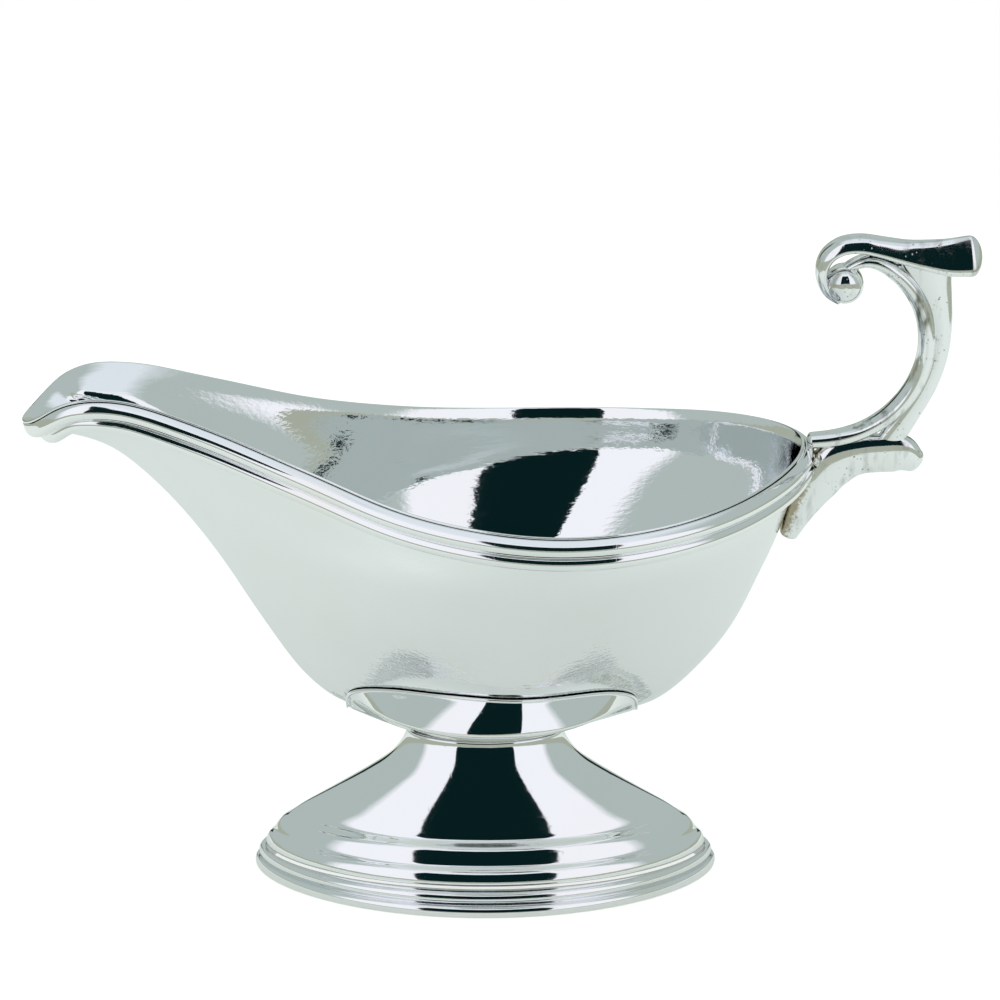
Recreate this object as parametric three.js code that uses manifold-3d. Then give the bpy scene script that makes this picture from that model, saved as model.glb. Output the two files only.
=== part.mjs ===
// Pedestal sauce pot in silver plate. Millimetres, +Z up, spout towards -X, handle towards +X.
import * as THREE from "three";
import { mergeVertices } from "three/addons/utils/BufferGeometryUtils.js";
import Module from "manifold-3d";

const wasm = await Module();
wasm.setup();

// Driving dimensions
const AXIS_X = -3.5; // centre of the foot, collar and bowl bottom
const WALL = 1.1; // sheet the bowl is raised from
const GAP = 0.3; // soldered joints between curved pieces
const JOINT = 0.45; // the same between the bowl's edge and its moulding
const SEGMENTS = 56; // round the bowl and the rim
const OVAL_SEGMENTS = 48; // round the foot and its wire
const OVAL_ANGLES = Array.from({ length: OVAL_SEGMENTS }, (_, i) => (i * 2 * Math.PI) / OVAL_SEGMENTS);

// Outer edge of the rim on one side, spout tip to back: x, half width, height
const RIM_SIDE = [
  [-109.2, 0, 109.6],
  [-107.6, 7.2, 110.9],
  [-103.2, 13.6, 115],
  [-96, 15.7, 119.2],
  [-85, 16.3, 120],
  [-67, 19.7, 115.4],
  [-44, 27.4, 107.8],
  [-22, 38.4, 102],
  [0, 45.3, 99.4],
  [18, 46.9, 99.1],
  [36, 42.9, 100.1],
  [52, 34.3, 102.2],
  [64, 21.5, 104.4],
  [70, 9.5, 105.8],
  [71.6, 0, 106.3],
];

// Flat oval the bowl stands on: half length, half width, height
const SEAT = { a: 14, b: 5.5, z: 40 };
// Profiles from that oval (0, 0) to the underside of the rim moulding (1, 1): way out, way up
const SPOUT_PROFILE = [
  [0, 0],
  [0.124, 0.006],
  [0.19, 0.022],
  [0.25, 0.052],
  [0.342, 0.157],
  [0.448, 0.362],
  [0.553, 0.583],
  [0.657, 0.752],
  [0.762, 0.879],
  [0.866, 0.968],
  [1, 1],
];
const SIDE_PROFILE = [
  [0, 0],
  [0.171, 0.011],
  [0.329, 0.049],
  [0.461, 0.118],
  [0.547, 0.196],
  [0.597, 0.252],
  [0.671, 0.355],
  [0.763, 0.505],
  [0.85, 0.664],
  [0.921, 0.804],
  [0.968, 0.916],
  [1, 1],
];
const QUARTER_PROFILE = [
  [0, 0],
  [0.12, 0.005],
  [0.22, 0.02],
  [0.36, 0.075],
  [0.5, 0.175],
  [0.7, 0.35],
  [0.87, 0.59],
  [0.95, 0.78],
  [1, 1],
];
const BACK_PROFILE = [
  [0, 0],
  [0.2, 0],
  [0.32, 0.008],
  [0.413, 0.03],
  [0.492, 0.076],
  [0.568, 0.145],
  [0.645, 0.228],
  [0.721, 0.325],
  [0.779, 0.423],
  [0.852, 0.589],
  [0.912, 0.727],
  [1, 1],
];
const BOWL_LEVELS = 14;
const BACK_PINCH = 0.85; // how much narrower the low bowl is between its side and its back
const PROFILE_REACH = { spout: 3, side: 5, back: 6 }; // higher keeps a profile nearer its own axis

// Rim, measured from its outer edge: the sheet's outer and inner face, and the moulding's underside
const SHEET = { outer: -1.65, inner: -2.85, bottom: -6.2 };
const LEAN = THREE.MathUtils.degToRad(72); // how far the lip turns over at the spout tip
const LEAN_SPREAD = 6; // higher keeps the turned lip closer to the tip
const CROWDING = { tip: 0.25, ends: 0.15 }; // how much closer together the rim's points are there
// Bowl's bare edge on top of the moulding: heights of its two corners and of the small round between
const BOWL_EDGE = { outer: 0.22, inner: 0.1, crown: 0.5, step: 0.25 };
const BLOCK_CROWN = 0.8; // how far above that the cutting block reaches
// Moulding's top, from the joint outwards and down to the first reed
const MOULDING_TOP = [
  [-0.4, 0.02],
  [-0.05, -0.1],
  [0, -0.35],
  [-0.4, -0.75],
];
const MOULDING_BACK = { top: 0.2, bottom: 0.35 }; // its flat back: top height, bottom height over the sheet
const REED_ARC = { half: 65, steps: 4 }; // degrees either way from level
const REEDS = [
  { out: -0.25, up: -1.75, radius: 0.95 },
  { out: -0.5, up: -3.85, radius: 0.9 },
  { out: -0.85, up: -5.35, radius: 0.45 },
];

// Collar: half length and half width at the foot's neck, then of its level lower edge
const COLLAR = { neckA: 18.4, neckB: 9.2, z: 35.6, wall: 0.9, lift: 0.5, seam: 0.05 };
const COLLAR_EDGE = { x: 2, a: 33.2, b: 31.5, z: 45.8, power: 1.7, below: 1.2 };
// Where it meets the bowl: half length, height at the sides and how much lower at the ends
const COLLAR_TOP = { x: 1.6, a: 33.4, z: 53.5, drop: 5.7, corner: 8 };
const COLLAR_ENDS = { along: 0.93, spread: 5 }; // at its ends the edge lies on the straight way up
const COLLAR_STEPS = { under: 5, over: 4 };
const COLLAR_CURVE = { under: 1.1, over: 1.25 }; // 1 is straight
const COLLAR_HALVINGS = 18; // of the way up the bowl, to find a point of the top oval
// Rolled edge along the bowl: way past the collar's top, height off the bowl
const COLLAR_LIP = [
  [0.06, 0.62],
  [0.2, 0.6],
  [0.32, 0.4],
  [0.36, 0.05],
];

// Foot from the neck down to the bottom wire: half length, half width, height
const FOOT = [
  [18.5, 9.2, 35.3],
  [18.5, 9.3, 34.3],
  [19.6, 10, 31.9],
  [21.7, 11, 29.4],
  [26.5, 12.8, 25.8],
  [32, 14.5, 22.3],
  [38, 16.1, 18.9],
  [43, 17.4, 16.1],
  [46.2, 18.3, 13.8],
  [47.7, 18.5, 12.2],
  [47.9, 18.6, 11.4],
  [48.7, 19.4, 11],
  [50.1, 21, 10.1],
  [50.9, 22.1, 8.8],
  [51, 22.3, 7.7],
  [51.6, 23.2, 7.4],
  [52.4, 24.7, 6.4],
  [52.6, 25.3, 5],
];
const FOOT_WALL = 1.1;
const FOOT_DROP = 0.6; // the sheet's inside lies this much lower on its slopes
// Bottom wire with its two beads: half length, half width, height
const WIRE = [
  [50.4, 24.6, 4.7],
  [52.4, 25.6, 4.7],
  [53.3, 27.3, 4.6],
  [53.9, 28.4, 4.1],
  [54, 28.7, 3.5],
  [53.8, 28.6, 2.95],
  [53.4, 28.3, 2.7],
  [54, 29.5, 2.45],
  [54.4, 30.3, 1.9],
  [54.5, 30.7, 1.2],
  [54.4, 30.7, 0.6],
  [54, 30.3, 0.15],
  [53.2, 29.5, 0],
  [50.4, 26, 0],
];

// Limbs of the handle in the middle plane: x, z, half thickness, half depth along Y
const SCROLL = [
  [79.5, 148.6, 1.1, 2.6],
  [83, 149.2, 1.5, 3],
  [87, 147.8, 1.8, 3.2],
  [91, 144.6, 2, 3.3],
  [94.4, 139.8, 2.1, 3.4],
  [96.4, 133.4, 2.1, 3.4],
  [96.2, 126, 2, 3.3],
  [93.6, 119, 2, 3.2],
  [89, 113.2, 1.9, 3.2],
  [82.8, 109, 1.8, 3.1],
  [76.5, 107, 1.8, 3],
  [71, 106.4, 1.7, 2.8],
];
const WEB = [
  [97, 149.4, 4.6, 2.6],
  [97.9, 143.8, 3.8, 2.5],
  [99.2, 138.4, 2.8, 2.4],
  [100, 131.4, 1.9, 2.3],
  [99.1, 124.6, 1.8, 2.3],
  [96.7, 118, 1.8, 2.2],
  [93.5, 112.2, 1.8, 2.2],
  [90.4, 107.4, 1.8, 2.2],
];
const LEAF = [
  [76.2, 139.9, 0.8, 2.9],
  [73.8, 141.7, 1.15, 3.3],
  [72.2, 145.5, 1.35, 3.7],
  [73, 149.8, 1.6, 3.9],
  [76.2, 152.5, 1.8, 4],
  [80.5, 153.2, 1.95, 4.1],
  [86, 152.3, 2.15, 4.1],
  [91, 151.2, 2.5, 4.1],
  [96, 150.5, 3.3, 4.1],
  [101, 150.1, 4.1, 4],
  [105.6, 150.4, 4.5, 3.7],
];
const ROOT = [
  [94.6, 101.5, 2.9, 2],
  [91.8, 102.8, 4.1, 2.5],
  [87.4, 102.2, 3.2, 2.7],
  [82, 101.5, 3, 2.9],
  [76.8, 99.3, 4.2, 3.2],
  [72.3, 95.2, 4.5, 3.4],
  [68.8, 89.6, 3.4, 3.2],
  [66.4, 84, 2.2, 2.4],
];
const BALL = { x: 77.7, z: 143.7, radius: 4.2, depth: 4.9 };

const END_REACH = 0.6; // how far a limb's rounded end stands out, as a share of its thickness

const SILVER = { color: 0xe6eaea, roughness: 0.08, metalness: 1 };

// One closed mesh through rows of points; rows may close on themselves, or end in flat caps
function loft(rows, closedRows = false) {
  const n = rows[0].length;
  const points = rows.flat();
  const faces = [];
  const bands = closedRows ? rows.length : rows.length - 1;
  for (let j = 0; j < bands; j++) {
    const low = j * n;
    const high = ((j + 1) % rows.length) * n;
    for (let i = 0; i < n; i++) {
      const k = (i + 1) % n;
      faces.push([low + i, low + k, high + k], [low + i, high + k, high + i]);
    }
  }
  if (!closedRows) {
    const first = middle(rows[0]);
    const last = middle(rows[rows.length - 1]);
    const start = points.length;
    const top = (rows.length - 1) * n;
    points.push(first, last);
    for (let i = 0; i < n; i++) {
      const k = (i + 1) % n;
      faces.push([start, k, i], [start + 1, top + i, top + k]);
    }
  }
  const geometry = new THREE.BufferGeometry();
  geometry.setAttribute(
    "position",
    new THREE.Float32BufferAttribute(points.flatMap((p) => [p.x, p.y, p.z]), 3),
  );
  geometry.setIndex(faces.flat());
  return geometry;
}

function middle(row) {
  const sum = row.reduce((total, p) => total.add(p), new THREE.Vector3());
  return sum.divideScalar(row.length);
}

function toSolid(geometry) {
  const bare = geometry.clone();
  bare.deleteAttribute("normal");
  bare.deleteAttribute("uv");
  const merged = mergeVertices(bare, 1e-4);
  return new wasm.Manifold(
    new wasm.Mesh({
      numProp: 3,
      vertProperties: new Float32Array(merged.attributes.position.array),
      triVerts: new Uint32Array(merged.index.array),
    }),
  );
}

function toGeometry(solid) {
  const mesh = solid.getMesh();
  const geometry = new THREE.BufferGeometry();
  geometry.setAttribute("position", new THREE.Float32BufferAttribute(mesh.vertProperties, 3));
  geometry.setIndex(Array.from(mesh.triVerts));
  return geometry;
}

function named(name, geometry) {
  geometry.computeVertexNormals();
  const material = new THREE.MeshStandardMaterial(SILVER);
  const mesh = new THREE.Mesh(geometry, material);
  mesh.name = name;
  return mesh;
}

// Points round the rim's outer edge, evenly spaced, from the spout tip along -Y and back
function rimOutline() {
  const side = RIM_SIDE.map(([x, w, z]) => new THREE.Vector3(x, -w, z));
  const other = side.slice(1, -1).reverse().map((p) => new THREE.Vector3(p.x, -p.y, p.z));
  const curve = new THREE.CatmullRomCurve3([...side, ...other], true, "centripetal");
  return Array.from({ length: SEGMENTS }, (_, i) => {
    const turn = (i * 2 * Math.PI) / SEGMENTS;
    // closer together where the rim turns sharply, at the tip and the back
    const u = (turn - CROWDING.tip * Math.sin(turn) - CROWDING.ends * Math.sin(2 * turn)) / (2 * Math.PI);
    const point = curve.getPointAt(u);
    const along = curve.getTangentAt(u);
    const level = new THREE.Vector3(along.y, -along.x, 0).normalize();
    const upright = new THREE.Vector3().crossVectors(along, level).negate();
    const tip = Math.max(0, Math.cos(turn)) ** LEAN_SPREAD;
    const c = Math.cos(LEAN * tip);
    const s = Math.sin(LEAN * tip);
    const out = level.clone().multiplyScalar(c).addScaledVector(upright, -s);
    const up = upright.clone().multiplyScalar(c).addScaledVector(level, s);
    return { point, out, up };
  });
}

const rim = rimOutline();

function rimRow(outwards, upwards) {
  return rim.map(({ point, out, up }) =>
    point.clone().addScaledVector(out, outwards).addScaledVector(up, upwards),
  );
}

function ovalRow(a, b, z, angles = OVAL_ANGLES) {
  return angles.map((t) => new THREE.Vector3(AXIS_X - a * Math.cos(t), -b * Math.sin(t), z));
}

// Way round the bowl for each rim point, 0 at the spout tip, a quarter turn where it is widest
const rimAngles = rim.map(({ point }) => {
  const reach = point.x < AXIS_X ? AXIS_X - RIM_SIDE[0][0] : RIM_SIDE[RIM_SIDE.length - 1][0] - AXIS_X;
  const widest = Math.max(...RIM_SIDE.map(([, width]) => width));
  return Math.atan2(-point.y / widest, (AXIS_X - point.x) / reach);
});

const profiles = [SPOUT_PROFILE, QUARTER_PROFILE, SIDE_PROFILE, BACK_PROFILE].map(
  (profile) => new THREE.SplineCurve(profile.map(([out, up]) => new THREE.Vector2(out, up))),
);

// How much of the spout, quarter, side and back profile a point this way round takes
function profileShares(angle) {
  const turn = Math.cos(angle);
  if (turn < 0) {
    const back = (-turn) ** PROFILE_REACH.back;
    return [0, 0, 1 - back, back];
  }
  const spout = turn ** PROFILE_REACH.spout;
  const side = Math.abs(Math.sin(angle)) ** PROFILE_REACH.side;
  return [spout, 1 - spout - side, side, 0];
}

// Row of bowl points a share s of the way up from the seat to the moulding
function bowlRow(s, inset) {
  const seat = ovalRow(SEAT.a - inset, SEAT.b - inset, SEAT.z + inset, rimAngles);
  const top = rimRow(SHEET.outer - inset, SHEET.bottom);
  const at = profiles.map((profile) => profile.getPointAt(s));
  return seat.map((from, i) => {
    const shares = profileShares(rimAngles[i]);
    const out = shares.reduce((sum, share, k) => sum + share * at[k].x, 0);
    const up = shares.reduce((sum, share, k) => sum + share * at[k].y, 0);
    const to = top[i];
    const back = Math.cos(rimAngles[i]) < 0 ? Math.sin(2 * rimAngles[i]) ** 2 : 0;
    const pinch = 1 - BACK_PINCH * back * out * (1 - up) ** 2;
    return new THREE.Vector3(
      from.x + (to.x - from.x) * out,
      (from.y + (to.y - from.y) * out) * pinch,
      from.z + (to.z - from.z) * up,
    );
  });
}

function bowlRows(inset) {
  return Array.from({ length: BOWL_LEVELS + 1 }, (_, k) => bowlRow(k / BOWL_LEVELS, inset));
}

function makeBowl() {
  const { outer, inner, crown, step } = BOWL_EDGE;
  const outside = [...bowlRows(0), rimRow(SHEET.outer, outer)];
  const inside = [...bowlRows(WALL), rimRow(SHEET.inner, inner), rimRow(SHEET.inner + step, crown)];
  return named("bowl", loft([...outside, ...inside.reverse()]));
}

// The whole bowl and moulding as a plain block, grown by the joint gap, to cut neighbours with
function bowlBlock() {
  const rows = [
    ...bowlRows(-GAP),
    rimRow(REEDS[0].out + REEDS[0].radius + GAP, SHEET.bottom - GAP),
    rimRow(REEDS[0].out + REEDS[0].radius + GAP, GAP),
    rimRow(SHEET.inner, GAP + BLOCK_CROWN),
  ];
  return toSolid(loft(rows));
}

function reedArc({ out, up, radius }) {
  const { half, steps } = REED_ARC;
  return Array.from({ length: steps + 1 }, (_, k) => {
    const angle = THREE.MathUtils.degToRad(half - (2 * half * k) / steps);
    return [out + radius * Math.cos(angle), up + radius * Math.sin(angle)];
  });
}

function makeMoulding() {
  const section = [
    [SHEET.outer + JOINT, SHEET.bottom + MOULDING_BACK.bottom],
    [SHEET.outer + JOINT, MOULDING_BACK.top],
    ...MOULDING_TOP,
    ...REEDS.flatMap(reedArc),
  ];
  return named("rim_moulding", loft(section.map(([out, up]) => rimRow(out, up)).reverse(), true));
}

// Points lifted off the bowl's outside, this far past the collar's top
function onBowl(past, lift) {
  const { x, a, z, drop, corner } = COLLAR_TOP;
  const inside = (p) => {
    const reach = Math.abs(p.x - AXIS_X - x) / (a + past);
    const climbed = (p.z - SEAT.z) / (z + past - drop * reach ** 2 - SEAT.z);
    return climbed ** corner + reach ** corner < 1;
  };
  const low = new Array(SEGMENTS).fill(0);
  const high = new Array(SEGMENTS).fill(1);
  for (let round = 0; round < COLLAR_HALVINGS; round++) {
    for (let i = 0; i < SEGMENTS; i++) {
      const half = (low[i] + high[i]) / 2;
      if (inside(bowlPoint(half, i, lift))) low[i] = half;
      else high[i] = half;
    }
  }
  return low.map((s, i) => bowlPoint(s, i, lift));
}

function bowlPoint(s, i, lift) {
  return bowlRow(s, -GAP - lift)[i];
}

// Lower edge: a pointed oval at the sides, on the way from neck to bowl at the ends
function collarEdge(neck, top, inset) {
  const { x, a, b, z, power, below } = COLLAR_EDGE;
  return rimAngles.map((angle, i) => {
    const way = THREE.MathUtils.clamp((top[i].x - AXIS_X - COLLAR_TOP.x) / COLLAR_TOP.a, -1, 1);
    const wide = (b - inset) * (1 - Math.abs(way) ** power) ** (1 / power);
    const oval = new THREE.Vector3(
      AXIS_X + x + (a - inset) * way,
      Math.sign(top[i].y) * Math.max(wide, Math.abs(top[i].y)), // never in under the bowl
      Math.min(z, top[i].z - below) + inset / 2,
    );
    const straight = neck[i].clone().lerp(top[i], COLLAR_ENDS.along);
    return oval.lerp(straight, Math.abs(Math.cos(angle)) ** COLLAR_ENDS.spread);
  });
}

// Rows from one ring to the next, with the way out running ahead of or behind the way up
function between(from, to, steps, way) {
  return Array.from({ length: steps }, (_, k) => {
    const t = (k + 1) / steps;
    return from.map((p, i) => {
      const q = to[i];
      return new THREE.Vector3(
        p.x + (q.x - p.x) * way(t),
        p.y + (q.y - p.y) * way(t),
        p.z + (q.z - p.z) * t,
      );
    });
  });
}

function makeCollar(block) {
  const skin = (inset, lift) => {
    const neck = ovalRow(COLLAR.neckA - inset, COLLAR.neckB - inset, COLLAR.z, rimAngles);
    const top = onBowl(0, lift);
    const edge = collarEdge(neck, top, inset);
    const under = between(neck, edge, COLLAR_STEPS.under, (t) => t ** (1 / COLLAR_CURVE.under));
    const over = between(edge, top, COLLAR_STEPS.over, (t) => 1 - (1 - t) ** COLLAR_CURVE.over);
    return [neck, ...under, ...over];
  };
  const lip = COLLAR_LIP.map(([past, lift]) => onBowl(past, lift));
  const rows = [...skin(0, COLLAR.lift), ...lip, ...skin(COLLAR.wall, COLLAR.seam).reverse()];
  return named("collar", toGeometry(toSolid(loft(rows, true)).subtract(block)));
}

function makeFoot() {
  const outside = FOOT.map(([a, b, z]) => ovalRow(a, b, z));
  const neck = 0;
  const rim = FOOT.length - 1;
  const inside = [];
  for (let k = neck; k <= rim; k++) {
    const [a, b, z] = FOOT[k];
    const drop = k === neck || k === rim ? 0 : FOOT_DROP;
    const steep = k > neck && k < rim && k % 2 === 1;
    if (!steep) inside.push(ovalRow(a - FOOT_WALL, b - FOOT_WALL, z - drop));
  }
  return named("foot", loft([...outside, ...inside.reverse()].reverse(), true));
}

function makeWire() {
  return named("foot_wire", loft(WIRE.map(([a, b, z]) => ovalRow(a, b, z)).reverse(), true));
}

// A cast limb swept along its stations, oval to squarish in section, with rounded ends
function limb(stations, { along, around = 14, square = 2.6, grow = 0 }) {
  const path = new THREE.CatmullRomCurve3(stations.map(([x, z]) => new THREE.Vector3(x, 0, z)));
  const sizes = new THREE.CatmullRomCurve3(
    stations.map(([, , thick, deep]) => new THREE.Vector3(thick + grow, deep + grow, 0)),
  );
  const rows = [];
  const ring = (u, shift, scale) => {
    const centre = path.getPoint(u);
    const tangent = path.getTangent(u);
    const normal = new THREE.Vector3(-tangent.z, 0, tangent.x);
    const size = sizes.getPoint(u).multiplyScalar(scale);
    centre.addScaledVector(tangent, shift);
    rows.push(
      Array.from({ length: around }, (_, k) => {
        const angle = (2 * Math.PI * k) / around;
        const c = Math.cos(angle);
        const s = Math.sin(angle);
        const p = centre.clone();
        p.addScaledVector(normal, size.x * Math.sign(c) * Math.abs(c) ** (2 / square));
        p.y += size.y * Math.sign(s) * Math.abs(s) ** (2 / square);
        return p;
      }),
    );
  };
  const roundings = [78, 52, 26]; // degrees round each end
  const reach = (u, degrees) => sizes.getPoint(u).x * END_REACH * Math.sin(THREE.MathUtils.degToRad(degrees));
  for (const d of roundings) ring(0, -reach(0, d), Math.cos(THREE.MathUtils.degToRad(d)));
  for (let j = 0; j <= along; j++) ring(j / along, 0, 1);
  for (const d of roundings.reverse()) ring(1, reach(1, d), Math.cos(THREE.MathUtils.degToRad(d)));
  return toSolid(loft(rows.reverse()));
}

function ball(grow = 0) {
  const sphere = new THREE.SphereGeometry(1, 24, 16);
  sphere.scale(BALL.radius + grow, BALL.depth + grow, BALL.radius + grow);
  sphere.translate(BALL.x, 0, BALL.z);
  return toSolid(sphere);
}

function makeHandle(block) {
  const leaf = (grow) => limb(LEAF, { along: 26, square: 3.4, grow });
  const scroll = (grow) => limb(SCROLL, { along: 26, grow });
  const web = (grow) => limb(WEB, { along: 16, grow });
  const arms = scroll(0).add(web(0)).subtract(leaf(GAP)).subtract(ball(GAP)).subtract(block);
  const root = limb(ROOT, { along: 18 }).subtract(scroll(GAP)).subtract(web(GAP)).subtract(block);
  return [
    named("handle_scroll", toGeometry(arms)),
    named("handle_root", toGeometry(root)),
    named("thumb_leaf", toGeometry(leaf(0).subtract(ball(GAP)))),
    named("volute_ball", toGeometry(ball())),
  ];
}

const group = new THREE.Group();
group.name = "sauce_pot";
const block = bowlBlock();
group.add(makeBowl(), makeMoulding(), makeCollar(block), makeFoot(), makeWire());
group.add(...makeHandle(block));

const box = new THREE.Box3().setFromObject(group);
group.position.set(-(box.min.x + box.max.x) / 2, 0, -box.min.z);

export default group;
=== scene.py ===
# %% [markdown]
# # A silver sauce pot, piece by piece
# The pot is silver plate: a boat-shaped bowl with a long pouring lip, a reeded moulding round its edge,
# a collar, a stepped oval foot and a cast scroll handle. The imported solids give every size, so they are
# loaded first.

# %% Load the imported model
import math
import bmesh
import bpy
import numpy as np
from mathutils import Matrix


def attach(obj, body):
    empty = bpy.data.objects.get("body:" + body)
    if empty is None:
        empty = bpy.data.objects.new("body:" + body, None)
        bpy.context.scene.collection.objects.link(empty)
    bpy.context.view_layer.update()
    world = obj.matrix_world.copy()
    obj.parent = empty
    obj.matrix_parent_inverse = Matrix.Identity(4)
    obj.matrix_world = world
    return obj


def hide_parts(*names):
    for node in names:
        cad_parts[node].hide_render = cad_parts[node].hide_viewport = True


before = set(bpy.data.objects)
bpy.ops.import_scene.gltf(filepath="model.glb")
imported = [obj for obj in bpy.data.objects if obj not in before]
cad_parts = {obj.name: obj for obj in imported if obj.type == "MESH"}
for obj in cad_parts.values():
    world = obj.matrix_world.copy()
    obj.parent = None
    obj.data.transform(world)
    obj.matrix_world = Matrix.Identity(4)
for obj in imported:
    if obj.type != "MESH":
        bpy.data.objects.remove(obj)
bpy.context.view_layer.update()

print("solids", sorted(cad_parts))

# %% [markdown]
# ## Camera
# The photograph looks along the pot's side from 20 degrees above, with a long lens, so the ovals stay
# flat and the far rim shows over the near one. A camera far away with a narrow view gives the same.

# %% Camera
MM = 0.001
SHIFT = 0.4 * MM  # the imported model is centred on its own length
EYE_RISE = math.radians(20)
EYE_WAY = 0.9
EYE_TARGET = (SHIFT, 0, 91.9 * MM)

camera_data = bpy.data.cameras.new("eye")
camera_data.sensor_width = 36
camera_data.lens = 141.26
camera_data.clip_start = 0.02
eye = bpy.data.objects.new("eye", camera_data)
eye.location = (
    EYE_TARGET[0],
    -EYE_WAY * math.cos(EYE_RISE),
    EYE_TARGET[2] + EYE_WAY * math.sin(EYE_RISE),
)
eye.rotation_euler = (math.pi / 2 - EYE_RISE, 0, 0)
bpy.context.scene.collection.objects.link(eye)
bpy.context.scene.camera = eye
bpy.context.scene.view_settings.view_transform = "Standard"
print("camera at", tuple(round(v, 4) for v in eye.location))

# %% [markdown]
# ## Shader maths
# Materials are written as sums on sockets. A small class holds one socket and lets plain Python signs
# add the Math nodes, which keeps a finish as short to read as a formula.


# %% Shader maths
class Wire:
    """A socket of a node tree that can be used in a sum."""

    def __init__(self, tree, socket):
        self.tree, self.socket = tree, socket

    def sum(self, operation, *others, clamp=False):
        settings = {"operation": operation, "use_clamp": clamp}
        return add(self.tree, "ShaderNodeMath", settings, dict(enumerate((self, *others))))

    def __add__(self, other):
        return self.sum("ADD", other)

    def __sub__(self, other):
        return self.sum("SUBTRACT", other)

    def __rsub__(self, other):
        return (self * -1).sum("ADD", other)

    def __mul__(self, other):
        return self.sum("MULTIPLY", other)

    def __truediv__(self, other):
        return self.sum("DIVIDE", other)

    def __abs__(self):
        return self.sum("ABSOLUTE")

    def clamped(self):
        return self.sum("ADD", 0, clamp=True)

    __radd__ = __add__
    __rmul__ = __mul__


def add(tree, kind, settings=None, inputs=None, output=0):
    """Add a node, set it, join its sockets, and hand back one of its outputs."""
    node = tree.nodes.new(kind)
    for key, value in (settings or {}).items():
        setattr(node, key, value)
    for key, value in (inputs or {}).items():
        if isinstance(value, Wire):
            tree.links.new(value.socket, node.inputs[key])
        else:
            node.inputs[key].default_value = value
    return Wire(tree, node.outputs[output]) if len(node.outputs) else node


def blended(tree, share, first, second):
    """Mix two colours, each a socket or three numbers."""
    pair = [colour if isinstance(colour, Wire) else (*colour, 1) for colour in (first, second)]
    return add(tree, "ShaderNodeMix", {"data_type": "RGBA"}, {0: share, 6: pair[0], 7: pair[1]}, 2)


def between(value, low, high, soft):
    """1 from low to high, fading to 0 over the soft width."""
    return ((value - low) / soft).clamped() * ((high - value) / soft).clamped()


# %% [markdown]
# ## Studio
# Polished silver shows the room more than itself. The room here is plain: pale paper on the table, a
# white wall on either side of the camera with grey ones further round, a pale ceiling, and a dark gap
# behind the camera that grows wider upwards, where a photographer stands. That gap draws the black
# patches on the foot and in the bowl, and the lines along the reeds. Two narrow dark openings behind the
# pot draw thin lines at its edges. The air behind the pot is plain white for the camera alone.

# %% Room
DARK_LOW, DARK_HIGH = math.radians(8), math.radians(61)
DARK_HALF, DARK_FLARE = math.radians(21), 0.15
WHITE_SIDE, WHITE_SOFT = math.radians(52), math.radians(8)
BACK_FROM, BACK_TO = math.radians(144), math.radians(158)
BACK_LOW, BACK_HIGH = math.radians(-4), math.radians(30)
CEILING_FROM, CEILING_SOFT = math.radians(60), math.radians(14)
EDGE = math.radians(0.5)
BACK_EDGE = 4 * EDGE
BELOW_ALL = -2  # lower than any angle, in radians
PAPER = (1, 1, 1)
WALL_WHITE = (1.0, 1.0, 1.05)
WALL_GREY = (0.47, 0.54, 0.52)
CEILING = (0.80, 0.86, 0.91)
TABLE_TAN = (0.42, 0.455, 0.375)
DARK_CLOTH = (0.002, 0.013, 0.014)

world = bpy.data.worlds.new("room")
world.use_nodes = True
bpy.context.scene.world = world
room = world.node_tree
room.nodes.clear()
way = add(room, "ShaderNodeTexCoord")
axes = [add(room, "ShaderNodeSeparateXYZ", None, {0: way}, k) for k in range(3)]
turn = abs(axes[0].sum("ARCTAN2", axes[1] * -1))
rise = axes[2].sum("ARCSINE")
half = (rise - DARK_LOW) * DARK_FLARE + DARK_HALF
white = between(turn, BELOW_ALL, WHITE_SIDE + WHITE_SOFT, WHITE_SOFT)
back = between(turn, BACK_FROM, BACK_TO, BACK_EDGE) * between(rise, BACK_LOW, BACK_HIGH, BACK_EDGE)
dark = between(turn, BELOW_ALL, half, EDGE) * between(rise, DARK_LOW, DARK_HIGH, EDGE)
walls = blended(room, white, WALL_GREY, WALL_WHITE)
walls = blended(room, ((rise - CEILING_FROM) / CEILING_SOFT).clamped(), walls, CEILING)
walls = blended(room, between(rise, BELOW_ALL, DARK_LOW, EDGE), walls, TABLE_TAN)
walls = blended(room, (back + dark).clamped(), walls, DARK_CLOTH)
seen = add(room, "ShaderNodeLightPath", None, None, 0)
colour = blended(room, seen, walls, PAPER)
shade = add(room, "ShaderNodeBackground", None, {0: colour, 1: 1.0})
add(room, "ShaderNodeOutputWorld", None, {0: shade})

# %% [markdown]
# ## Table
# The paper is a plain pale plane that keeps the pot's shadow. It glows a little for the camera, so that it
# meets the white behind it, and for mirrors, where it is paler to the left and right of the pot.

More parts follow.
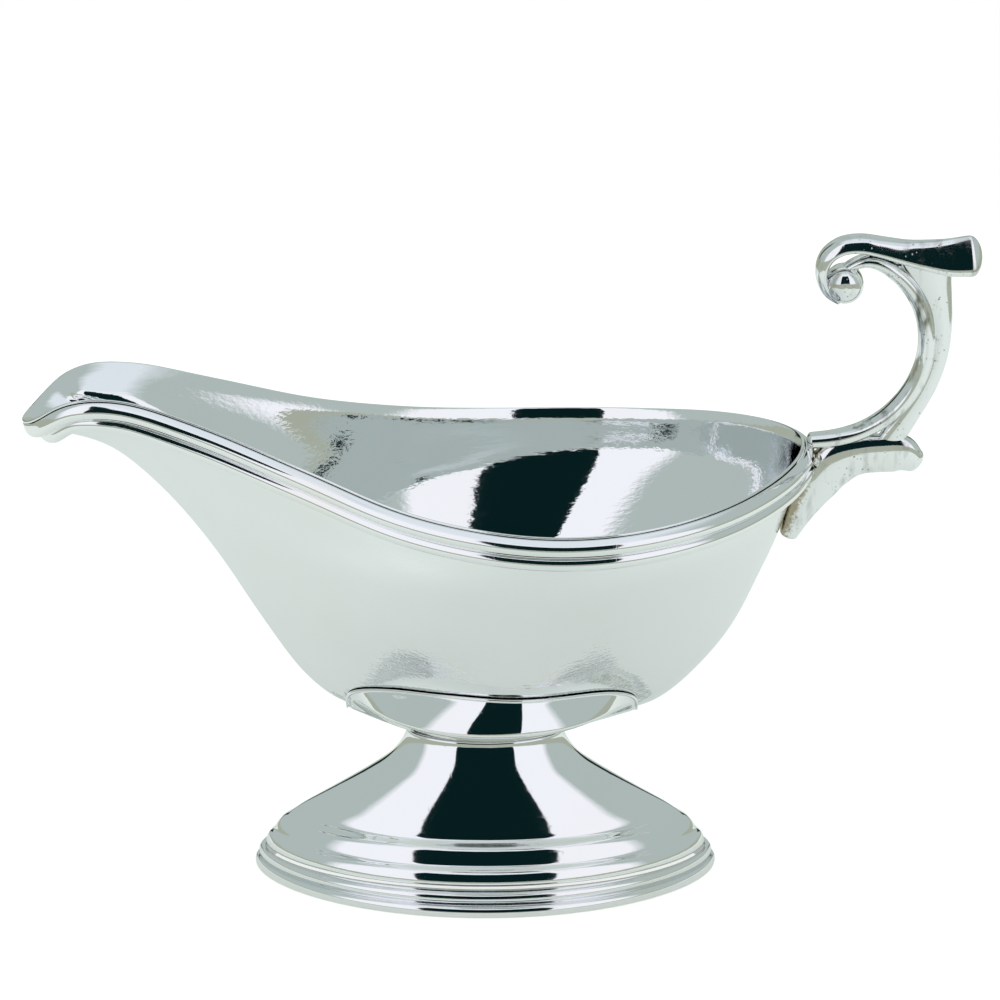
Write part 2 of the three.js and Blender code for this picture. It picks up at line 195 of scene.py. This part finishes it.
# %% Table
TABLE_HALF = 0.55
CAMERA_LIFT, GLOSSY_LIFT, SIDE_LIFT = 0.74, 0.36, 0.12
SIDE_FROM, SIDE_FADE = 0.03, 0.2
PAPER_MATT = (0.66, 0.70, 0.64)
PAPER_GLOW = (0.98, 1, 0.97)
bpy.ops.object.select_all(action="DESELECT")
bpy.ops.mesh.primitive_plane_add(size=2 * TABLE_HALF)
table = bpy.context.object
table.name = "table"
paper = bpy.data.materials.new("pale_paper")
paper.use_nodes = True
tree = paper.node_tree
tree.nodes.clear()
camera_ray = add(tree, "ShaderNodeLightPath", None, None, 0)
glossy_ray = add(tree, "ShaderNodeLightPath", None, None, 3)
matt = add(tree, "ShaderNodeBsdfDiffuse", None, {0: (*PAPER_MATT, 1)})
spot = add(tree, "ShaderNodeTexCoord", None, None, 3)
across = abs(add(tree, "ShaderNodeSeparateXYZ", None, {0: spot}))
mirrored = ((across - SIDE_FROM) / SIDE_FADE).clamped() * SIDE_LIFT + GLOSSY_LIFT
lift = add(tree, "ShaderNodeEmission", None, {
    0: (*PAPER_GLOW, 1), 1: camera_ray * CAMERA_LIFT + glossy_ray * mirrored,
})
both = add(tree, "ShaderNodeAddShader", None, {0: matt, 1: lift})
add(tree, "ShaderNodeOutputMaterial", None, {0: both})
table.data.materials.append(paper)
print("table", 2 * TABLE_HALF, "m")

# %% [markdown]
# ## Silver finishes
# The plate is bright but used. Wiping leaves hair-fine scratches, raising leaves faint waves that fray the
# edges of reflections, the plate is a little warmer where it has worn, and the castings keep small pits and
# dark streaks, with solder beside the root. A metal shader with a low roughness is right for all of them,
# and noise in several sizes makes the difference between them.


# %% Silver finishes
HAIR_DEPTH = 0.0015
HAIRS_ALONG, HAIRS_ACROSS = 1400, 1100  # noise scales: 1000 is about one patch in each mm
CLOUDS = 38
WAVES = 1300
PITS, PIT_PATCHES = 900.0, 260
STREAKS, STREAK_PATCHES = 420, 90
SPECKLES = 1500
SEAM_FOOT = (0.0649, 0.0835)  # x and z of the seam's lower end, m
SEAM_LEAN = 0.36
SEAM_WIDE, SEAM_FADE = 0.0015, 0.0012
SEAM_SHARE = 0.8


def silver(name, colour, gloss, hairs, waves=0.0, pits=0.0, tarnish=0.4, warmth=0.12, stained=None):
    """Polished plate: hairs raise the roughness from its gloss, and waves and pits are depths in mm."""
    material = bpy.data.materials.new(name)
    material.use_nodes = True
    tree = material.node_tree
    shader = tree.nodes["Principled BSDF"]
    place = add(tree, "ShaderNodeTexCoord", None, None, 3)

    def noise(scale, detail=2.0, stretch=(1, 1, 1), turn=(0, 0, 0)):
        settings = {"Scale": scale, "Detail": detail}
        mapped = add(tree, "ShaderNodeMapping", None, {0: place, 2: turn, 3: stretch})
        return add(tree, "ShaderNodeTexNoise", None, {0: mapped, **settings})

    along = noise(HAIRS_ALONG, 3, (0.05, 1, 1), (0.2, 0.3, 0.15))
    across = noise(HAIRS_ACROSS, 3, (1, 1, 0.06), (0.5, -0.2, 0.4))
    scratch = ((along - 0.62) * 9).clamped() + ((across - 0.64) * 9).clamped()
    cloud = noise(CLOUDS, 3)
    base = blended(tree, ((cloud - 0.48) * 3).clamped() * warmth, colour, WARM)
    rough = gloss + hairs * scratch + cloud * gloss * 0.5
    height = scratch * -HAIR_DEPTH
    if waves:
        height = height + noise(WAVES, 2, (0.12, 1, 1), (0, 0.12, 0)) * waves
    if pits:
        spots = add(tree, "ShaderNodeTexVoronoi", None, {0: place, "Scale": PITS})
        streak = noise(STREAKS, 3, (1, 1, 0.3), (0, 0.6, 0))
        pit = ((0.28 - spots) * 6).clamped() * ((noise(PIT_PATCHES) - 0.5) * 8).clamped()
        worn = ((streak - 0.5) * 6).clamped() * ((noise(STREAK_PATCHES) - 0.4) * 5).clamped()
        base = blended(tree, (pit * 0.6 + worn * tarnish).clamped(), base, TARNISH)
        rough = rough + pit * 0.25 + worn * 0.12
        height = height - pit * pits
    if stained:
        share = stained(tree, place, noise(SPECKLES, 3))
        base = blended(tree, share, base, SOLDER)
        rough = rough + share * 0.2
    tree.links.new(base.socket, shader.inputs["Base Color"])
    tree.links.new(rough.clamped().socket, shader.inputs["Roughness"])
    bump = add(tree, "ShaderNodeBump", None, {"Strength": 1.0, "Distance": MM, "Height": height})
    tree.links.new(bump.socket, shader.inputs["Normal"])
    shader.inputs["Metallic"].default_value = 1
    return material


def solder_seam(tree, place, speckle):
    """Share of solder colour beside the bowl's back, where the root was joined."""
    x, _, z = (add(tree, "ShaderNodeSeparateXYZ", None, {0: place}, k) for k in range(3))
    away = x - (z - SEAM_FOOT[1]) * SEAM_LEAN - SEAM_FOOT[0]
    return ((SEAM_WIDE - away) / SEAM_FADE + (speckle - 0.5) * 4).clamped() * SEAM_SHARE


PLATE = (0.87, 0.885, 0.90)
WARM = (0.80, 0.74, 0.62)
TARNISH = (0.20, 0.21, 0.17)
SOLDER = (0.36, 0.29, 0.15)
bowl_plate = silver("bowl_plate", PLATE, 0.035, 0.05, waves=0.035)
foot_plate = silver("foot_plate", PLATE, 0.035, 0.06, waves=0.006)
wire_plate = silver("wire_plate", PLATE, 0.05, 0.06, warmth=0.25)
cast_plate = silver("cast_plate", PLATE, 0.06, 0.07, pits=0.02, warmth=0.3)
scroll_plate = silver("scroll_plate", PLATE, 0.07, 0.07, pits=0.02, tarnish=0.95, warmth=0.5)
root_plate = silver("root_plate", PLATE, 0.06, 0.07, pits=0.012, warmth=0.3, stained=solder_seam)


# %% [markdown]
# ## Rings
# Nearly every piece of the pot was raised, spun or drawn, so it is a row of rings. As by hand, each one
# starts as a circle and is extruded ring by ring, and every new ring is set to its drawn points. A
# Subdivision Surface then rounds the rings into one smooth skin, which a mirror finish needs.


# %% Smooth lines and rings
SKIN_LEVELS = 2
STEPS_PER_KNOT = 40
WELD = 0.001 * MM


def smooth_line(points, shares, closed=False):
    """Points at these shares of the length of a smooth line through the given points."""
    knots = np.array(points, float)
    if closed:
        knots = np.vstack([knots[-1:], knots, knots[:2]])
    else:
        knots = np.vstack([2 * knots[0] - knots[1], knots, 2 * knots[-1] - knots[-2]])
    t = np.linspace(0, 1, STEPS_PER_KNOT, endpoint=False)[:, None]
    pieces = []
    for p0, p1, p2, p3 in zip(knots, knots[1:], knots[2:], knots[3:]):
        g0, g1, g2 = (max(np.linalg.norm(q - p), 1e-9) ** 0.5 for p, q in ((p0, p1), (p1, p2), (p2, p3)))
        m1 = ((p1 - p0) / g0 - (p2 - p0) / (g0 + g1) + (p2 - p1) / g1) * g1
        m2 = ((p2 - p1) / g1 - (p3 - p1) / (g1 + g2) + (p3 - p2) / g2) * g1
        c2, c3 = 3 * (p2 - p1) - 2 * m1 - m2, 2 * (p1 - p2) + m1 + m2
        pieces.append(p1 + m1 * t + c2 * t**2 + c3 * t**3)
    pieces.append(knots[-2][None])
    line = np.vstack(pieces)
    length = np.concatenate([[0], np.cumsum(np.linalg.norm(np.diff(line, axis=0), axis=1))])
    wanted = np.asarray(shares) * length[-1]
    return np.stack([np.interp(wanted, length, line[:, k]) for k in range(line.shape[1])], axis=1)


def set_ring(piece, points, before):
    """Move the selected ring to its points (mm), in the order of the ring before it."""
    mesh = bmesh.from_edit_mesh(piece.data)
    chosen = [v for v in mesh.verts if v.select]
    if before:
        chosen.sort(key=lambda v: before[tuple(v.co)])
    for vertex, (x, y, z) in zip(chosen, points):
        vertex.co = (x * MM + SHIFT, y * MM, z * MM)
    bmesh.update_edit_mesh(piece.data)
    return {tuple(v.co): i for i, v in enumerate(chosen)}


def ringed(name, rings, looped=False):
    """Extrude a circle through the rings; looped rings close on themselves, others end in points."""
    bpy.ops.object.select_all(action="DESELECT")
    bpy.ops.mesh.primitive_circle_add(vertices=len(rings[0]), radius=1)
    piece = bpy.context.object
    piece.name = piece.data.name = name
    bpy.ops.object.mode_set(mode="EDIT")
    bpy.ops.mesh.select_all(action="SELECT")
    first = last = set_ring(piece, rings[0], None)
    for ring in rings[1:] + (rings[:1] if looped else []):
        bpy.ops.mesh.extrude_region_move()
        last = set_ring(piece, ring, last)
    if not looped:
        close(piece, last)
        close(piece, first)
    bpy.ops.mesh.select_all(action="SELECT")
    bpy.ops.mesh.remove_doubles(threshold=WELD)
    bpy.ops.mesh.normals_make_consistent(inside=False)
    bpy.ops.object.mode_set(mode="OBJECT")
    return smoothed(piece)


def close(piece, ring):
    """Draw a ring in to a point at its middle."""
    mesh = bmesh.from_edit_mesh(piece.data)
    for vertex in mesh.verts:
        vertex.select_set(tuple(vertex.co) in ring)
    mesh.select_flush_mode()
    bmesh.update_edit_mesh(piece.data)
    bpy.ops.mesh.extrude_region_move()
    bpy.ops.mesh.merge(type="CENTER")


def smoothed(piece):
    """Round the rings into one skin and turn the faces outwards."""
    bpy.context.view_layer.objects.active = piece
    skin = piece.modifiers.new("skin", "SUBSURF")
    skin.levels = skin.render_levels = SKIN_LEVELS
    bpy.ops.object.modifier_apply(modifier="skin")
    mesh = bmesh.new()
    mesh.from_mesh(piece.data)
    volume = mesh.calc_volume(signed=True)
    loose = sum(1 for edge in mesh.edges if len(edge.link_faces) != 2)
    if volume < 0:
        bmesh.ops.reverse_faces(mesh, faces=mesh.faces)
        mesh.to_mesh(piece.data)
    mesh.free()
    bpy.ops.object.shade_smooth()
    print(piece.name, len(piece.data.polygons), "faces,", round(abs(volume) * 1e9), "mm3, open edges", loose)
    return piece


def dress(piece, material, node):
    """Give a piece its finish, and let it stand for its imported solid."""
    piece.data.materials.clear()
    piece.data.materials.append(material)
    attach(piece, "root")
    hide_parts(node)


# %% [markdown]
# ## Rim line
# The edge of the bowl is one closed line: high and narrow over the lip, low and wide in the middle, and
# turned right over at the tip, where the sauce leaves. The bowl and its moulding both hang from it, so
# it is drawn once, with a small frame at each point that says which way is out and which is up.

# %% Rim line
AXIS_X = -3.5
AROUND = 96
RIM_SIDE = [
    (-109.2, 0, 109.6), (-107.6, 7.2, 110.9), (-103.2, 13.6, 115), (-96, 15.7, 119.2),
    (-85, 16.3, 120), (-67, 19.7, 115.4), (-44, 27.4, 107.8), (-22, 38.4, 102),
    (0, 45.3, 99.4), (18, 46.9, 99.1), (36, 42.9, 100.1), (52, 34.3, 102.2),
    (64, 21.5, 104.4), (70, 9.5, 105.8), (71.6, 0, 106.3),
]
LEAN = math.radians(72)
LEAN_SPREAD = 6
CROWDING = (0.25, 0.15)  # how closely points gather at the lip, and at both ends

side = [(x, -w, z) for x, w, z in RIM_SIDE]
outline = side + [(x, -y, z) for x, y, z in side[-2:0:-1]]
turns = np.arange(AROUND) * 2 * math.pi / AROUND
shares = (turns - CROWDING[0] * np.sin(turns) - CROWDING[1] * np.sin(2 * turns)) / (2 * math.pi)
rim = smooth_line(outline, shares, closed=True)
STEP = 1e-4
run = smooth_line(outline, (shares + STEP) % 1, closed=True) - smooth_line(
    outline, (shares - STEP) % 1, closed=True
)
run /= np.linalg.norm(run, axis=1)[:, None]
level = np.stack([run[:, 1], -run[:, 0], 0 * run[:, 0]], axis=1)
level /= np.linalg.norm(level, axis=1)[:, None]
upright = -np.cross(run, level)
lean = LEAN * np.maximum(0, np.cos(turns))[:, None] ** LEAN_SPREAD
rim_out = level * np.cos(lean) - upright * np.sin(lean)
rim_up = upright * np.cos(lean) + level * np.sin(lean)


def rim_row(out, up):
    """A row of points beside the rim line."""
    return rim + out * rim_out + up * rim_up


def oval_row(a, b, z, angles):
    return np.stack([AXIS_X - a * np.cos(angles), -b * np.sin(angles), z + 0 * angles], axis=1)


reach = np.where(rim[:, 0] < AXIS_X, AXIS_X - RIM_SIDE[0][0], RIM_SIDE[-1][0] - AXIS_X)
widest = max(w for _, w, _ in RIM_SIDE)
rim_angles = np.arctan2(-rim[:, 1] / widest, (AXIS_X - rim[:, 0]) / reach)
print("rim", AROUND, "points, highest", round(rim[:, 2].max(), 1), "mm")

# %% [markdown]
# ## Bowl
# The bowl is one sheet, raised over stakes until it is deep in the middle and runs out into the lip.
# Its section changes all the way round: round-bellied at the sides, hollow under the lip, steep at the
# back. Four drawn profiles are blended by the way round, from a small flat oval up to the rim. The belly is
# a little fuller towards the lip, and the inside of the lip is drawn in to a round channel.

# %% Bowl sections
SEAT = (14, 5.5, 40)
WALL = 1.1
SHEET_OUT, SHEET_LOW = -2.95, -6.2
SPOUT = [
    (0, 0), (0.124, 0.006), (0.19, 0.022), (0.25, 0.052), (0.342, 0.157), (0.448, 0.362),
    (0.553, 0.583), (0.657, 0.752), (0.762, 0.879), (0.866, 0.968), (1, 1),
]
QUARTER = [
    (0, 0), (0.12, 0.005), (0.22, 0.02), (0.36, 0.075), (0.5, 0.175), (0.7, 0.35),
    (0.87, 0.59), (0.95, 0.78), (1, 1),
]
BELLY = [
    (0, 0), (0.06, 0.02), (0.165, 0.047), (0.294, 0.094), (0.414, 0.16), (0.499, 0.226), (0.556, 0.282),
    (0.6146, 0.358), (0.694, 0.471), (0.784, 0.603), (0.887, 0.753), (0.9656, 0.876), (0.985, 0.913), (1, 1),
]
BACK = [
    (0, 0), (0.2, 0), (0.32, 0.008), (0.413, 0.03), (0.492, 0.076), (0.568, 0.145), (0.645, 0.228),
    (0.721, 0.325), (0.779, 0.423), (0.852, 0.589), (0.912, 0.727), (1, 1),
]

BACK_PINCH = 0.85
TABLE = np.linspace(0, 1, 201)

cosine, sine = np.cos(rim_angles), np.abs(np.sin(rim_angles))
spout_share = np.maximum(cosine, 0) ** 3
back_share = np.maximum(-cosine, 0) ** 6
belly_share = np.where(cosine > 0, sine**5, 1 - back_share)
quarter_share = 1 - spout_share - belly_share - back_share
drawn = [
    (spout_share, smooth_line(SPOUT, TABLE)), (quarter_share, smooth_line(QUARTER, TABLE)),
    (belly_share, smooth_line(BELLY, TABLE)), (back_share, smooth_line(BACK, TABLE)),
]
back_quarter = np.where(cosine < 0, np.sin(2 * rim_angles) ** 2, 0)

LIP_OPEN = 5.2
FULLER = (2.6, -22, 20)  # how much, at which x, and how far it spreads
FULLER_LOW, FULLER_HIGH = (55, 72), (85, 92)  # heights between which it sets in and fades out
lip_share = np.where(np.cos(turns) > 0, np.sin(2 * turns) ** 2, 0)[:, None]


def inner_row(out, up):
    """A row inside the sheet, drawn in at the sides of the lip so that its channel is round."""
    return rim_row(out - LIP_OPEN * lip_share * up / SHEET_LOW, up)


def eased(value, low, high):
    share = np.clip((value - low) / (high - low), 0, 1)
    return share**2 * (3 - 2 * share)


def bowl_row(s, inset):
    """The row of bowl points a share s of the way up; a positive inset lies inside the sheet."""
    low = oval_row(SEAT[0] - inset, SEAT[1] - inset, SEAT[2] + inset, rim_angles)
    top = (inner_row if inset > 0 else rim_row)(SHEET_OUT - inset, SHEET_LOW)
    out, up = (sum(share * np.interp(s, TABLE, line[:, k]) for share, line in drawn) for k in (0, 1))
    row = low + (top - low) * np.stack([out, out, up], axis=1)
    row[:, 1] *= 1 - BACK_PINCH * back_quarter * out * (1 - up) ** 2
    most, place, spread = FULLER
    fuller = most * np.exp(-(((row[:, 0] - place) / spread) ** 2))
    fuller *= eased(row[:, 2], *FULLER_LOW) * (1 - eased(row[:, 2], *FULLER_HIGH))
    row[:, 1] += np.sign(row[:, 1]) * fuller * sine
    return row


# %% Bowl
BOWL_LEVELS = 18
BOTTOM_SHARES = (0.3, 0.65)


def bottom_rings(inset):
    a, b, z = SEAT[0] - inset, SEAT[1] - inset, SEAT[2] + inset
    return [oval_row(a * k, b * k, z, rim_angles) for k in BOTTOM_SHARES]


def wall_rings(inset):
    return [bowl_row(k / BOWL_LEVELS, inset) for k in range(BOWL_LEVELS + 1)]


EDGE_OUT = [(-2.75, -3), (-2.3, -0.9), (-1.95, -0.05)]
EDGE_TOP = [(-2.05, 0.25), (-2.4, 0.36), (-2.72, 0.12)]
EDGE_IN = [(-3.05, -0.6), (-3.5, -1.7), (-3.7, -2.6), (-3.88, -4.4)]
outside = bottom_rings(0) + wall_rings(0)
edge = [rim_row(*point) for point in EDGE_OUT + EDGE_TOP] + [inner_row(*point) for point in EDGE_IN]
inside = bottom_rings(WALL) + wall_rings(WALL)
bowl = ringed("bowl_body", outside + edge + inside[::-1])
dress(bowl, bowl_plate, "bowl")

# %% [markdown]
# ## Rim moulding
# The moulding is a drawn wire with reeds, soldered round the outside of the edge. Its section is drawn
# once, and each of its points becomes a ring round the rim, so the lines stay crisp along the whole lip.

# %% Rim moulding
REEDS = [(-1.35, -2.35), (-1.5, -5.6)]
REED = 1.75


def reed_arc(out, up):
    """Round face of a reed, from its top edge to its bottom edge."""
    angles = np.radians([55, 42, 28, 14, 0, -16, -32, -50])
    return [(out + REED * math.cos(a), up + REED * math.sin(a)) for a in angles]


section = [
    (-2.45, -6.9), (-2.45, -3), (-1.98, -0.6), (-1.72, -0.06), (-1.2, -0.24), (-0.75, -0.56),
    *reed_arc(*REEDS[0]), (-0.72, -3.98), *reed_arc(*REEDS[1]), (-1.0, -7.15),
]
moulding = ringed("reeded_rim", [rim_row(*point) for point in section], looped=True)
dress(moulding, wire_plate, "rim_moulding")

# %% [markdown]
# ## Foot
# The foot was spun or stamped: a narrow oval neck opens into a dome, with two quarter-round steps under
# it. A circle is set to the neck's oval and extruded down through the profile, then up inside. Its plan is
# an oval at the neck and more pointed at its ends below.

# %% Foot
FOOT_AROUND = 80
FOOT_WALL = 1.1
NECK = [(18.5, 9.2, 35.3, 0.5)]
DOME = [
    (18.5, 9.25, 34.5, 0.5), (18.8, 9.55, 33.6, 0.5), (19.9, 10.3, 31.6, 0.51), (22, 11.2, 28.9, 0.53),
    (26.6, 12.4, 25.6, 0.57), (32, 13.6, 22.3, 0.62), (38, 15, 18.8, 0.67), (43, 16.2, 15.9, 0.71),
    (45.2, 16.7, 14.3, 0.72),
]
FILLET_HIGH = [(45.9, 17.3, 13.7, 0.71), (46.6, 18.3, 13.3, 0.69), (47.2, 19.2, 13, 0.67)]
STEP_HIGH = [(47.9, 19.9, 12.4, 0.65), (48.9, 20.6, 11.2, 0.65), (49.5, 21.1, 10.2, 0.65)]
FILLET_LOW = [(49.8, 21.5, 9.5, 0.65), (50.2, 22.2, 9.1, 0.65), (50.8, 23, 8.8, 0.64)]
STEP_LOW = [
    (51.3, 23.7, 8.2, 0.64), (51.7, 24.2, 7.2, 0.63), (51.9, 24.5, 6.3, 0.63), (51.9, 24.5, 5.5, 0.62),
]
foot_angles = np.arange(FOOT_AROUND) * 2 * math.pi / FOOT_AROUND


def spun(stations):
    """Rings of the foot: half length, half width, height, and how pointed (0.5 is an ellipse)."""
    s = np.sin(foot_angles)
    rows = [oval_row(a, b, z, foot_angles) for a, b, z, _ in stations]
    for row, (_, b, _, point) in zip(rows, stations):
        row[:, 1] = -b * np.sign(s) * np.abs(s) ** (2 * point)
    return rows


drawn_foot = [(DOME, 22), (FILLET_HIGH, 4), (STEP_HIGH, 5), (FILLET_LOW, 4), (STEP_LOW, 6)]
foot_out = NECK + [tuple(p) for line, n in drawn_foot for p in smooth_line(line, np.linspace(0, 1, n))]
foot_kept = [NECK[0], *foot_out[1:-1:3], foot_out[-1]]
foot_in = [(a - FOOT_WALL, b - FOOT_WALL, z, k) for a, b, z, k in foot_kept]
foot = ringed("stepped_foot", spun(foot_out) + spun(foot_in)[::-1], looped=True)
dress(foot, foot_plate, "foot")

# %% Foot wire
BEADS = [(26.9, 3.9), (29.2, 1.6)]
BEAD = 1.5
WIRE_LONG, WIRE_WIDE = 54.5, 30.7
WIRE_TAPER, WIRE_POINT = 0.4, 0.6


def bead_arc(wide, high, angles):
    return [(wide + BEAD * math.cos(a), high + BEAD * math.sin(a)) for a in np.radians(angles)]


wire_line = [
    (23.5, 5.2), (25.6, 5.3), *bead_arc(*BEADS[0], [80, 55, 35, 15, -5, -25, -42]), (27.9, 2.75),
    *bead_arc(*BEADS[1], [78, 55, 35, 15, -5, -25, -45]), (29.6, 0.08), (28.6, 0), (24.5, 0), (23.5, 0.3),
]
wire_rings = [(WIRE_LONG - WIRE_TAPER * (WIRE_WIDE - b), b, z, WIRE_POINT) for b, z in wire_line]
wire = ringed("foot_bead", spun(wire_rings), looped=True)
dress(wire, wire_plate, "foot_wire")

# %% [markdown]
# ## Collar
# The collar is a short flared cup that joins the round belly to the narrow neck. Its top edge is rolled
# against the bowl, so each of its points is found on the bowl's own skin, by halving the way up. Its widest
# line is a pointed oval, and above that the front leans back to the bowl.

# %% Collar
GAP = 0.3
COLLAR_NECK = (18.4, 9.2, 35.6)
COLLAR_EDGE = (2, 33.2, 28.3, 44.55)
COLLAR_TOP = (1.6, 33.4, 52.2, 4.4)
COLLAR_WALL, COLLAR_LIFT, COLLAR_SEAM = 0.9, 0.15, 0.05
COLLAR_BELOW = 1.2
COLLAR_LIP = [(0.08, 0.4), (0.3, 0.46), (0.5, 0.3), (0.6, 0.05), (0.62, -0.2)]
CORNER = 8
POINTED = 0.58
STRAIGHT_SHARE, STRAIGHT_ENDS = 0.93, 5
HALVINGS = 16
UNDER_STEPS, UNDER_BEND = 6, 0.9
OVER_STEPS, OVER_START = 8, 0.62


def on_bowl(past, lift):
    """Points lifted off the bowl, this far past the collar's top."""
    low, high = np.zeros(AROUND), np.ones(AROUND)
    x, a, z, drop = COLLAR_TOP
    for _ in range(HALVINGS):
        half = (low + high) / 2
        point = bowl_row(half, -GAP - lift)
        reach = np.abs(point[:, 0] - AXIS_X - x) / (a + past)
        climbed = (point[:, 2] - SEAT[2]) / (z + past - drop * reach**2 - SEAT[2])
        inside = climbed**CORNER + reach**CORNER < 1
        low, high = np.where(inside, half, low), np.where(inside, high, half)
    return point


def collar_edge(neck, top, inset):
    """The lower edge: a level pointed oval, which runs into the straight way up at its ends."""
    x, a, b, z = COLLAR_EDGE
    way = np.clip((top[:, 0] - AXIS_X - COLLAR_TOP[0]) / COLLAR_TOP[1], -1, 1)
    wide = (b - inset) * (1 - way**2) ** POINTED
    oval = np.stack([
        AXIS_X + x + (a - inset) * way,
        np.sign(top[:, 1]) * np.maximum(wide, np.abs(top[:, 1])),
        np.minimum(z, top[:, 2] - COLLAR_BELOW) + inset / 2,
    ], axis=1)
    straight = neck + (top - neck) * STRAIGHT_SHARE
    return oval + (straight - oval) * (np.abs(np.cos(rim_angles)) ** STRAIGHT_ENDS)[:, None]


def between_rows(start, end, steps, way):
    shares = [(k + 1) / steps for k in range(steps)]
    return [start + (end - start) * np.array([way(t), way(t), t]) for t in shares]


def collar_skin(inset, lift):
    neck = oval_row(COLLAR_NECK[0] - inset, COLLAR_NECK[1] - inset, COLLAR_NECK[2], rim_angles)
    top = on_bowl(0, lift)
    edge = collar_edge(neck, top, inset)
    under = between_rows(neck, edge, UNDER_STEPS, lambda t: t ** UNDER_BEND)
    over = between_rows(edge, top, OVER_STEPS, lambda t: t * (OVER_START + (1 - OVER_START) * t))
    return [neck, *under, *over]


lip = [on_bowl(*point) for point in COLLAR_LIP]
collar_rows = collar_skin(0, COLLAR_LIFT) + lip + collar_skin(COLLAR_WALL, COLLAR_SEAM)[::-1]
collar = ringed("flared_collar", collar_rows, looped=True)
dress(collar, foot_plate, "collar")

# %% [markdown]
# ## Handle
# The handle was cast: a C scroll with a web on its back, a root with a spur that is soldered to the
# bowl, and a leaf for the thumb that rolls over a small ball. Each limb is a row of squarish rings
# along a drawn line, with rounded ends. The leaf's sides slope out downwards, so its front faces up a little.

# %% Limbs
SCROLL = [
    (76.5, 146.4, 1, 2.4), (79.5, 148.4, 1.3, 2.7), (83, 149.2, 1.6, 3.1), (87, 147.8, 1.9, 3.3),
    (91, 144.6, 2.1, 3.4), (94.4, 139.8, 2.2, 3.5), (96.4, 133.4, 2.2, 3.5), (96.2, 126, 2.1, 3.4),
    (93.6, 119, 2.1, 3.3), (89, 113.2, 2, 3.3), (82.8, 109, 1.9, 3.2),
    (76.5, 107, 1.9, 3), (71, 106.4, 1.8, 2.8),
]
WEB = [
    (95.5, 149.6, 6.2, 2.3), (96.9, 144.2, 4.8, 2.2), (98.6, 138.6, 3.4, 2.1), (99.7, 131.4, 2.2, 2),
    (98.7, 124.7, 2.2, 2), (96.2, 118.3, 2.3, 2), (92.9, 112.7, 2.5, 2), (89.8, 107.8, 2.9, 2),
    (88.4, 105.2, 3.2, 2),
]
LEAF = [
    (76.2, 139.9, 0.8, 2.9), (73.8, 141.7, 1.15, 3.1), (72.2, 145.5, 1.35, 3.3), (73, 149.8, 1.6, 3.4),
    (76.2, 152.5, 1.8, 3.5), (80.5, 153.2, 1.95, 3.6), (86, 152.3, 2.15, 3.6), (91, 151.2, 2.6, 3.6),
    (96, 150.5, 3.4, 3.6), (101, 150.1, 4.2, 3.5), (105.4, 150.4, 4.6, 3.4),
]
ROOT = [
    (94.6, 101.5, 2.9, 2), (91.8, 103.3, 4.6, 2.5), (87.4, 103.4, 4.6, 2.7), (82, 103, 4.6, 2.9),
    (77, 101.2, 5.5, 3.2), (72.3, 95.9, 5, 3.4), (68.8, 89.6, 3.4, 3.2), (66.4, 84, 2.2, 2.4),
]
END_REACH = 0.6
LEAF_SLOPE = 0.5


def limb(name, stations, rings, around=20, square=2.6, slope=0.0):
    """A cast limb along its stations (x, z, half thickness, half depth), its sides sloped outwards."""
    shares = np.linspace(0, 1, rings)
    line = smooth_line([(x, z) for x, z, _, _ in stations], shares)
    length = [np.linalg.norm(np.subtract(q[:2], p[:2])) for p, q in zip(stations, stations[1:])]
    length = np.concatenate([[0], np.cumsum(length)])
    length /= length[-1]
    sizes = np.stack([np.interp(shares, length, [s[k] for s in stations]) for k in (2, 3)], axis=1)
    run = np.gradient(line, axis=0)
    run /= np.linalg.norm(run, axis=1)[:, None]
    turn = np.arange(around) * 2 * math.pi / around
    wide, deep = (np.sign(f(turn)) * np.abs(f(turn)) ** (2 / square) for f in (np.cos, np.sin))

    def ring(k, shift, scale):
        centre = line[k] + run[k] * shift
        thick, depth = sizes[k] * scale
        x = centre[0] - run[k][1] * thick * wide
        z = centre[1] + run[k][0] * thick * wide
        return np.stack([x, (depth - slope * thick * wide) * deep, z], axis=1)

    def end(k, way):
        angles = np.radians([80, 60, 35, 15])
        return [ring(k, way * sizes[k][0] * END_REACH * math.sin(a), math.cos(a)) for a in angles]

    rows = end(0, -1) + [ring(k, 0, 1) for k in range(rings)] + end(rings - 1, 1)[::-1]
    return ringed(name, rows)


# %% Handle pieces
scroll = limb("c_scroll", SCROLL, 36, square=2.15)
web = limb("scroll_web", WEB, 22)
leaf = limb("thumb_piece", LEAF, 34, around=24, square=3.2, slope=LEAF_SLOPE)
root = limb("handle_bracket", ROOT, 24)
dress(scroll, scroll_plate, "handle_scroll")
dress(web, cast_plate, "handle_scroll")
dress(leaf, cast_plate, "thumb_leaf")
dress(root, root_plate, "handle_root")

# %% [markdown]
# ## Ball
# The ball inside the hook is a cast bead, a little flat on its two faces. It is a row of round rings from
# one face to the other, closed in a point at each end.

# %% Ball
BALL = (77.4, 143.8)
BALL_SIDE = [(0.7, 5.25), (1.7, 5.1), (2.8, 4.6), (3.7, 3.7), (4.25, 2.4), (4.4, 0.9)]
BALL_AROUND = 24
ball_turn = np.arange(BALL_AROUND) * 2 * math.pi / BALL_AROUND
ball_line = [(r, -y) for r, y in BALL_SIDE] + BALL_SIDE[::-1]
ball = ringed("volute_bead", [
    np.stack([BALL[0] + r * np.cos(ball_turn), y + 0 * ball_turn, BALL[1] + r * np.sin(ball_turn)], axis=1)
    for r, y in ball_line
])
dress(ball, cast_plate, "volute_ball")
